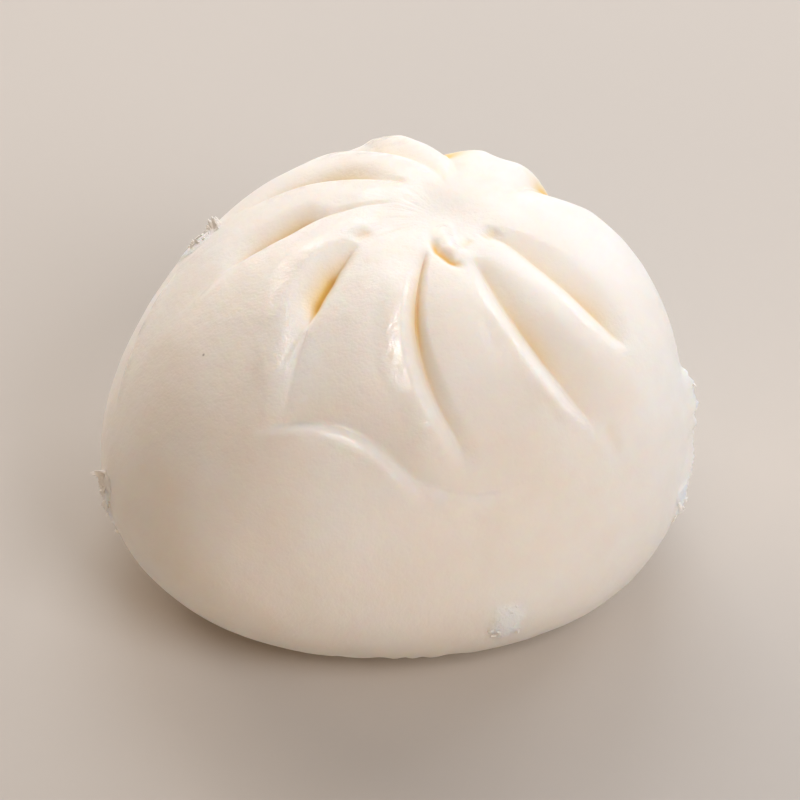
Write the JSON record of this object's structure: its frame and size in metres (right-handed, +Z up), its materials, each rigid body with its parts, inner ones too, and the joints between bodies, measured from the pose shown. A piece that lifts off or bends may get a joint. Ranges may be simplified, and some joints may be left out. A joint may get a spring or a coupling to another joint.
{
  "type": "steamed bun",
  "caption": "Round steamed bun of white yeast dough, full at the belly and flat below, with pleats that swirl up to a pinched knot on top.",
  "frame": {"origin": "middle of the bun's plan, at the height of the surface it stands on", "axes": "+Z up through the crown, -Y towards the side with the longest pleats, +X towards the side that the knot leans to"},
  "size_m": [0.0922, 0.0868, 0.0591],
  "materials": {
    "dough": "satin"
  },
  "bodies": {
    "root": {"bun": "dough"}
  },
  "joints": []
}
